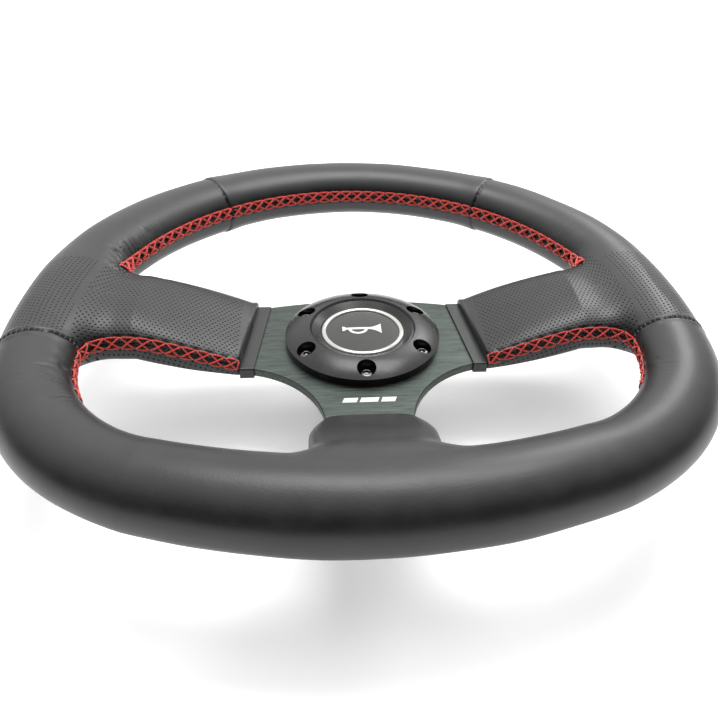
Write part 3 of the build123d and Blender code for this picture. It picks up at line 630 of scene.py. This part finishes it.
def brushed_material(name, colour, light, roughness, stretch, metallic=0.9, depth=0.00006):
    """Metal with fine parallel lines; stretch is the noise scale along each axis."""
    s = Surface(name, colour, roughness, metallic)
    lines = s.noise(1.0, 5.0, 0.72, s.stretched(stretch))
    patches = s.noise(1.0, 3.0, 0.6, s.stretched(tuple(v * 0.25 for v in stretch)))
    s.colour(s.mix(s.spread(lines, 0.3, 0.72, 0.0, 1.0), colour, light))
    unevenness = s.math("ADD", lines, s.math("MULTIPLY", patches, 0.6))
    s.rough(s.spread(unevenness, 0.5, 1.1, roughness - 0.09, roughness + 0.12))
    s.raise_by(lines, depth, 0.6)
    return s.material


def satin_material(name, colour, roughness, metallic=0.0, grain=1800.0, depth=0.00003, **sockets):
    """Smooth paint, plastic or cast metal with a faint grain and handling marks."""
    s = Surface(name, colour, roughness, metallic, **sockets)
    smears = s.noise(45.0, 4.0, 0.65, distortion=0.6)
    speckle = s.noise(grain, 2.0)
    lighter = tuple(min(1.0, c * 1.3 + 0.004) for c in colour)
    s.colour(s.mix(s.spread(smears, 0.4, 0.75, 0.0, 1.0), colour, lighter))
    s.rough(s.spread(smears, 0.3, 0.7, roughness - 0.05, roughness + 0.07))
    s.raise_by(speckle, depth, 0.5)
    return s.material


def turned_material(name, colour, roughness, metallic=1.0, pitch=2600.0):
    """Metal with rings left by turning about the steering axis."""
    s = Surface(name, colour, roughness, metallic)
    parts = s.node("ShaderNodeSeparateXYZ")
    s.link(s.place, parts.inputs[0])
    x2 = s.math("POWER", parts.outputs["X"], 2.0)
    y2 = s.math("POWER", parts.outputs["Y"], 2.0)
    radius = s.math("SQRT", s.math("ADD", x2, y2))
    rings = s.node("ShaderNodeCombineXYZ")
    s.link(radius, rings.inputs["X"])
    s.link(parts.outputs["Z"], rings.inputs["Y"])
    lines = s.noise(pitch, 2.0, 0.6, rings.outputs[0])
    smears = s.noise(60.0, 3.0)
    lighter = tuple(min(1.0, c * 1.18) for c in colour)
    s.colour(s.mix(s.spread(lines, 0.35, 0.65, 0.0, 1.0), colour, lighter))
    unevenness = s.math("ADD", s.math("MULTIPLY", lines, 0.5), s.math("MULTIPLY", smears, 0.5))
    s.rough(s.spread(unevenness, 0.35, 0.65, roughness - 0.06, roughness + 0.1))
    s.raise_by(lines, 0.00003, 0.7)
    return s.material


BRUSHED_ALONG_X = (90.0, 1900.0, 1900.0)
EVEN_GRAIN = (900.0, 900.0, 900.0)
MATERIALS = {
    "smooth_leather": leather_material("smooth_leather", False),
    "perforated_leather": leather_material("perforated_leather", True),
    # The second colour of each thread is its painted shade for the grooves of the twist.
    "red_thread": thread_material("red_thread", (0.82, 0.045, 0.022), (0.42, 0.016, 0.010)),
    "black_thread": thread_material("black_thread", (0.010, 0.010, 0.010), (0.003, 0.003, 0.003)),
    "black_anodised": brushed_material(
        "black_anodised", (0.026, 0.034, 0.029), (0.100, 0.118, 0.107), 0.36, BRUSHED_ALONG_X),
    "satin_black_metal": satin_material(
        "satin_black_metal", (0.0045, 0.0045, 0.0045), 0.27, Specular_IOR_Level=0.4),
    "black_plastic": satin_material("black_plastic", (0.0045, 0.0045, 0.004), 0.27, Specular_IOR_Level=0.3),
    "grey_plastic": satin_material("grey_plastic", (0.2, 0.2, 0.19), 0.55),
    "emblem_face": satin_material(
        "emblem_face", (0.014, 0.014, 0.012), 0.3, 0.3, Coat_Weight=0.3, Coat_Roughness=0.06),
    "chrome": turned_material("chrome", (0.42, 0.43, 0.40), 0.12, 1.0, 900.0),
    "screw_steel": turned_material("screw_steel", (0.10, 0.10, 0.10), 0.2),
    "steel": brushed_material("steel", (0.35, 0.35, 0.36), (0.5, 0.5, 0.5), 0.4, EVEN_GRAIN),
    "spring_steel": brushed_material("spring_steel", (0.3, 0.3, 0.31), (0.46, 0.46, 0.46), 0.3, EVEN_GRAIN),
    "brass": brushed_material("brass", (0.6, 0.42, 0.15), (0.75, 0.56, 0.26), 0.35, (40.0, 1800.0, 1800.0)),
    "machined_aluminium": turned_material("machined_aluminium", (0.56, 0.57, 0.58), 0.3),
    "collar_anodised": turned_material("collar_anodised", (0.03, 0.03, 0.034), 0.33, 0.8),
    "ball_steel": satin_material("ball_steel", (0.62, 0.62, 0.62), 0.08, 1.0),
    "rubber": satin_material("rubber", (0.015, 0.015, 0.015), 0.7, 0.0, 900.0, 0.00008),
    "moulded_foam": satin_material("moulded_foam", (0.02, 0.02, 0.02), 0.85, 0.0, 600.0, 0.0003),
    "print_white": satin_material("print_white", (0.62, 0.64, 0.63), 0.4, 0.0, 900.0, 0.00002),
}


# ---- mesh helpers -----------------------------------------------------------------------------
def new_mesh(name, points, faces, material, values=None):
    """A mesh object from millimetre points; only the points its faces use are kept."""
    faces = np.asarray(faces)
    used = np.unique(faces)
    order = np.full(len(points), -1)
    order[used] = np.arange(len(used))
    faces = order[faces]
    corners = faces.shape[1]
    mesh = bpy.data.meshes.new(name)
    mesh.vertices.add(len(used))
    mesh.vertices.foreach_set("co", (np.asarray(points)[used] * MM).astype(np.float32).ravel())
    mesh.loops.add(faces.size)
    mesh.loops.foreach_set("vertex_index", faces.ravel().astype(np.int32))
    mesh.polygons.add(len(faces))
    mesh.polygons.foreach_set("loop_start", (np.arange(len(faces)) * corners).astype(np.int32))
    mesh.update(calc_edges=True)
    mesh.validate()
    for key, value in (values or {}).items():
        attribute = mesh.attributes.new(key, "FLOAT", "POINT")
        attribute.data.foreach_set("value", np.asarray(value)[used].astype(np.float32))
    mesh.polygons.foreach_set("use_smooth", np.ones(len(faces), bool))
    mesh.materials.append(MATERIALS[material])
    made = bpy.data.objects.new(name, mesh)
    bpy.context.scene.collection.objects.link(made)
    return made


def piece(made, body, slot, *nodes):
    """The object rides on a body and stands for CAD nodes, which it hides; slot is not used."""
    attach(made, body)
    if nodes:
        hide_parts(*nodes)
    return made


def tube_mesh(path, radius, sides=8, twist=0.0):
    """Points, quads and twist values of a round thread along a path."""
    path = np.asarray(path, float)
    tangent = np.gradient(path, axis=0)
    tangent /= np.linalg.norm(tangent, axis=1)[:, None]
    guide = np.array([0.0, 0.0, 1.0])
    side = np.cross(tangent, guide)
    side /= np.maximum(np.linalg.norm(side, axis=1), 1e-6)[:, None]
    up = np.cross(side, tangent)
    angle = np.linspace(0, 2 * np.pi, sides, endpoint=False)
    lengths = np.concatenate([[0], np.cumsum(np.linalg.norm(np.diff(path, axis=0), axis=1))])
    swell = 1 + 0.13 * np.cos(2 * (angle[None, :] - 2 * np.pi * lengths[:, None] * twist))
    size = (np.asarray(radius) * np.ones(len(path)))[:, None] * swell
    ring = side[:, None] * np.cos(angle)[None, :, None] + up[:, None] * np.sin(angle)[None, :, None]
    points = (path[:, None] + ring * size[:, :, None]).reshape(-1, 3)
    i = np.arange(len(path) - 1)[:, None] * sides
    j = np.arange(sides)[None, :]
    k = (np.arange(sides) + 1) % sides
    quads = np.stack([i + j, i + k, i + sides + k, i + sides + j], -1).reshape(-1, 4)
    turns = (lengths[:, None] * twist * 2 + angle[None, :] / np.pi).reshape(-1)
    return points, quads, turns


def join_tubes(name, tubes, material):
    points, quads, values, base = [], [], [], 0
    for tube_points, tube_quads, turns in tubes:
        points.append(tube_points)
        quads.append(tube_quads + base)
        values.append(turns)
        base += len(tube_points)
    turns = {"twist": np.concatenate(values)}
    return new_mesh(name, np.concatenate(points), np.concatenate(quads), material, turns)


# ---- the leather covers -----------------------------------------------------------------------
for name, (points, quads, values) in leather_covers().items():
    finish = "perforated_leather" if "grip" in name else "smooth_leather"
    cover = new_mesh(name + "_cover", points, quads, finish, values)
    piece(cover, "wheel", finish, name)


# ---- cross stitching --------------------------------------------------------------------------
THREAD_R = {"upper_stitching": 0.66, "right_stitching": 0.45, "left_stitching": 0.45}
SHARES = np.linspace(0, 1, 13)


def strand(start, end, start_up, end_up, height, radius):
    """One visible length of thread, bowed over the leather with both ends diving into it."""
    line = start + (end - start) * SHARES[:, None]
    lift = start_up + (end_up - start_up) * SHARES[:, None]
    lift /= np.linalg.norm(lift, axis=1)[:, None]
    bow = height * np.sin(np.pi * SHARES) ** 0.6 - 0.9 * np.abs(2 * SHARES - 1) ** 8
    thick = radius * (1 - 0.25 * np.abs(2 * SHARES - 1) ** 6)
    return tube_mesh(line + lift * bow[:, None], thick, 8, 0.4)


def cross_stitches(name, path, normals, across):
    """Strands cross over each step of the seam, a rail runs along each side and a bar closes each end."""
    radius = THREAD_R[name]
    left, left_up = settle(leather_field, path + across * STITCH_HALF, 2)
    right, right_up = settle(leather_field, path - across * STITCH_HALF, 2)
    strands = []
    for i in range(len(path) - 1):
        jitter = 0.1 * math.sin(i * 12.9898)
        strands.append(strand(left[i], right[i + 1], left_up[i], right_up[i + 1], 0.4 + jitter, radius))
        strands.append(strand(right[i], left[i + 1], right_up[i], left_up[i + 1], 0.95 - jitter, radius))
        for side, up in ((left, left_up), (right, right_up)):
            near = side[i] + (side[i + 1] - side[i]) * (0.10 + jitter * 0.4)
            far = side[i] + (side[i + 1] - side[i]) * (0.90 + jitter * 0.4)
            strands.append(strand(near, far, up[i], up[i + 1], 0.35, radius * 0.9))
    for i in (0, len(path) - 1):
        strands.append(strand(left[i], right[i], left_up[i], right_up[i], 0.8, radius))
    stitched = join_tubes(name + "_threads", strands, "red_thread")
    return piece(stitched, "wheel", "red_thread", name)


for name, (path, normals, across) in STITCH_PATHS.items():
    cross_stitches(name, path, normals, across)


def grip_seam_threads(hand):
    """Short black stitches over the seam round the rim below each side spoke."""
    turn = math.radians(GRIP_SEAM_TURN)
    arc_radius = RIM_ARC_SPANS[1][0]
    half = float(rim_half_width(np.array([turn]))[0])
    strands = []
    for angle in np.arange(-150.0, 151.0, 8.6):
        round_it = math.radians(angle)
        ends = []
        for step in (-1.3, 1.3):
            x, y = rim_point(np.array([turn + step / arc_radius]), half * -math.cos(round_it))
            ends.append((hand * float(x[0]), float(y[0]), RIM_Z + half * RIM_FLATNESS * math.sin(round_it)))
        spots, ups = settle(leather_field, np.array(ends), 2)
        strands.append(strand(spots[0], spots[1], ups[0], ups[1], 0.05, 0.3))
    made = join_tubes(("right" if hand > 0 else "left") + "_seam_threads", strands, "black_thread")
    return piece(made, "wheel", "perforated_leather")


grip_seam_threads(1)
grip_seam_threads(-1)


# ---- hub details ------------------------------------------------------------------------------
def lathe(rows):
    """Points and quads through rows of (radius at each angle, height), all about the Z axis."""
    count = 60
    angle = np.linspace(0, 2 * np.pi, count, endpoint=False)
    points = []
    for radius, height in rows:
        reach = radius(angle) if callable(radius) else np.full(count, float(radius))
        points.append(np.stack([reach * np.cos(angle), reach * np.sin(angle), np.full(count, height)], 1))
    first = np.arange(len(rows) - 1)[:, None] * count
    here, after = np.arange(count)[None, :], ((np.arange(count) + 1) % count)[None, :]
    quads = np.stack([first + here, first + after, first + count + after, first + count + here], -1)
    return np.concatenate(points), quads.reshape(-1, 4)


HUB_SCREW_CIRCLE = 35.0
COUNTERBORE_FLOOR = PLATE_TOP + 2.4


def hexagon(size):
    """Radius of a hexagon, measured to its corners, as a function of the angle."""
    return lambda angle: size * math.cos(math.pi / 6) / np.cos((angle + np.pi / 6) % (np.pi / 3) - np.pi / 6)


def screw_heads():
    """Six button heads with hex sockets, deep in the ring's counterbores."""
    dome = ((4.25, 0.0), (4.25, 0.45), (4.1, 0.75), (3.6, 1.35), (2.9, 1.75), (2.2, 1.92), (1.95, 1.94))
    mouth = ((hexagon(1.8), 1.9), (hexagon(1.72), 1.8))
    socket = mouth + ((hexagon(1.7), 0.6), (hexagon(1.6), 0.5), (0.01, 0.45))
    shape, faces = lathe(dome + socket)
    points, quads = [], []
    for step in range(6):
        turn = step * math.pi / 3
        spin = 0.7 * step
        c, n = math.cos(spin), math.sin(spin)
        x, y = shape[:, 0], shape[:, 1]
        spun = np.stack([x * c - y * n, x * n + y * c, shape[:, 2]], 1)
        centre = (HUB_SCREW_CIRCLE * math.sin(turn), HUB_SCREW_CIRCLE * math.cos(turn), COUNTERBORE_FLOOR)
        points.append(spun + np.array(centre))
        quads.append(faces + step * len(shape))
    made = new_mesh("screw_heads", np.concatenate(points), np.concatenate(quads), "screw_steel")
    return piece(made, "wheel", "screw_steel", "hub_screws")


EMBLEM_TOP = PLATE_TOP + 5.4 + 1.4
EMBLEM_DOME_R = 211.7


def print_strips(name, body, slot, strips, level):
    """Thin printed shapes; each strip is a run of (left point, right point) pairs laid on a surface."""
    points, quads = [], []
    for strip in strips:
        base = len(points)
        for pair in strip:
            points += [(x, y, level(x, y)) for x, y in pair]
        starts = range(base, base + 2 * (len(strip) - 1), 2)
        quads += [(k, k + 1, k + 3, k + 2) for k in starts]
    made = new_mesh(name, np.array(points), np.array(quads), "print_white")
    return piece(made, body, slot)


def horn_symbol():
    """A plain bugle: mouthpiece, tube, flared bell and the loop below the tube."""
    tube = [((x, 0.2), (x, 2.0)) for x in np.arange(-9.0, 3.1, 1.0)]
    bell = []
    for x in np.arange(3.0, 10.1, 0.5):
        flare = 0.075 * (x - 3) ** 2
        bell.append(((x, 0.2 - flare), (x, 2.0 + flare)))
    mouth = [((x, -0.9), (x, 3.1)) for x in (-11.0, -10.0)] + [((-9.0, 0.2), (-9.0, 2.0))]
    loop = []
    for angle in np.linspace(math.pi, 2 * math.pi, 25):
        outer = (-2.5 + 5.2 * math.cos(angle), 0.6 + 4.6 * math.sin(angle))
        inner = (-2.5 + 3.7 * math.cos(angle), 0.6 + 3.1 * math.sin(angle))
        loop.append((outer, inner))

    def level(x, y):
        return EMBLEM_TOP + 0.05 - (x * x + y * y) / (2 * EMBLEM_DOME_R)

    return print_strips("horn_symbol", "horn_button", "emblem_face", [tube, bell, mouth, loop], level)


def spoke_mark():
    """Three plain slanted bars printed on the lower spoke."""
    bars = []
    for left, wide in ((-13.0, 7.0), (-4.5, 9.0), (6.0, 7.0)):
        right = left + wide
        bars.append([((left + 1.1, -50.2), (left, -53.6)), ((right + 1.1, -50.2), (right, -53.6))])
    return print_strips("spoke_mark", "wheel", "black_anodised", bars, lambda x, y: PLATE_TOP + 0.03)


# Coil radius, wire radius, lower end, upper end, turns, joint, fixed end and the joint's travel.
SPRINGS = {
    "horn_spring": (8.0, 0.55, 36.52, 47.98, 4.0, "horn_press", 36.52, 2.0),
    "collar_spring": (18.8, 0.6, 13.52, 24.98, 3.5, "collar_slide", 24.98, 6.0),
}


def spring(node, radius, wire, low, high, turns, joint, fixed_end, travel):
    """Compression spring with closed ends, built at its rest length; joint, fixed_end and travel are not
    used.
    """
    share = np.linspace(0, 1, int(turns * 48))
    angle = share * turns * 2 * np.pi
    rise = 0.6 * share + 0.4 * ease(share, 0.12, 0.88)
    level = low + wire + (high - low - 2 * wire) * rise
    path = np.stack([radius * np.cos(angle), radius * np.sin(angle), level], 1)
    from_end = np.minimum(np.arange(len(share)), np.arange(len(share))[::-1])
    closed = wire * np.minimum(1.0, 0.02 + 0.5 * from_end)
    made = join_tubes(node + "_coil", [tube_mesh(path, closed, 10)], "spring_steel")
    piece(made, "wheel", "spring_steel", node)
    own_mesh(made)


screw_heads()
horn_symbol()
spoke_mark()
for node, size in SPRINGS.items():
    spring(node, *size)


# ---- camera, light and floor ------------------------------------------------------------------
# The camera stands beyond the rim's lower edge, on the driver's side, and looks down past the hub.
# Its turns are degrees about X, Y and Z in that order: up from straight down, a small roll, and a
# swing that is negative to the right. The sideways shift frames the wheel as the photograph does.
CAMERA_PLACE = (-0.0218, -0.3450, 0.2849)
CAMERA_TURNS = (53.68, -2.54, -5.86)
CAMERA_LENS = 38.53
CAMERA_SHIFT = (-0.0667, 0.0035)


def add_camera():
    data = bpy.data.cameras.new("camera")
    data.sensor_width = 36.0
    data.lens = CAMERA_LENS
    data.shift_x, data.shift_y = CAMERA_SHIFT
    made = bpy.data.objects.new("camera", data)
    made.location = CAMERA_PLACE
    made.rotation_euler = [math.radians(turn) for turn in CAMERA_TURNS]
    bpy.context.scene.collection.objects.link(made)
    bpy.context.scene.camera = made


def add_light(name, place, aim, size, power, colour=(1, 1, 1)):
    data = bpy.data.lights.new(name, "AREA")
    data.shape = "RECTANGLE"
    data.size, data.size_y = size
    data.energy = power
    data.color = colour
    made = bpy.data.objects.new(name, data)
    made.location = place
    made.rotation_euler = (Vector(aim) - Vector(place)).to_track_quat("-Z", "Y").to_euler()
    bpy.context.scene.collection.objects.link(made)


def add_floor():
    bpy.ops.mesh.primitive_plane_add(size=14.0, location=(0, 0, -0.0005))
    floor = bpy.context.object
    floor.name = "floor"
    s = Surface("floor", (0.92, 0.92, 0.92), 0.75)
    s.colour(s.mix(s.spread(s.noise(5.0, 3.0), 0.3, 0.7, 0.0, 1.0), (0.90, 0.90, 0.90), (0.93, 0.93, 0.93)))
    s.shader.inputs["Emission Color"].default_value = (1.0, 1.0, 1.0, 1.0)
    s.shader.inputs["Emission Strength"].default_value = 0.3
    floor.data.materials.append(s.material)


def add_sky():
    """Soft studio surround: bright overhead and behind the wheel, dark on the near side."""
    world = bpy.data.worlds.new("studio")
    world.use_nodes = True
    tree = world.node_tree
    background = tree.nodes["Background"]
    direction = tree.nodes.new("ShaderNodeTexCoord").outputs["Generated"]
    lean = tree.nodes.new("ShaderNodeVectorMath")
    lean.operation = "DOT_PRODUCT"
    lean.inputs[1].default_value = (0.0, 0.5, 0.866)
    tree.links.new(direction, lean.inputs[0])
    ramp = tree.nodes.new("ShaderNodeMapRange")
    tree.links.new(lean.outputs["Value"], ramp.inputs["Value"])
    for socket, number in zip(list(ramp.inputs)[1:5], (0.18, 0.80, 0.03, 1.7)):
        socket.default_value = number
    tree.links.new(ramp.outputs[0], background.inputs["Strength"])
    background.inputs["Color"].default_value = (1.0, 1.0, 1.0, 1)
    bpy.context.scene.world = world


add_camera()
add_floor()
add_sky()
add_light("overhead", (0.1, 0.35, 1.3), (0, 0, 0), (0.9, 0.5), 12.0)
add_light("right_back", (0.6, 0.9, 0.9), (0, 0, 0.05), (0.4, 0.4), 4.0)
bpy.context.scene.view_settings.view_transform = "Standard"

for node in frame["record"]["subparts"]:
    cad = frame["nodes"][node["node"]]
    cad.data.materials.clear()
    cad.data.materials.append(MATERIALS[node["material_slot"]])
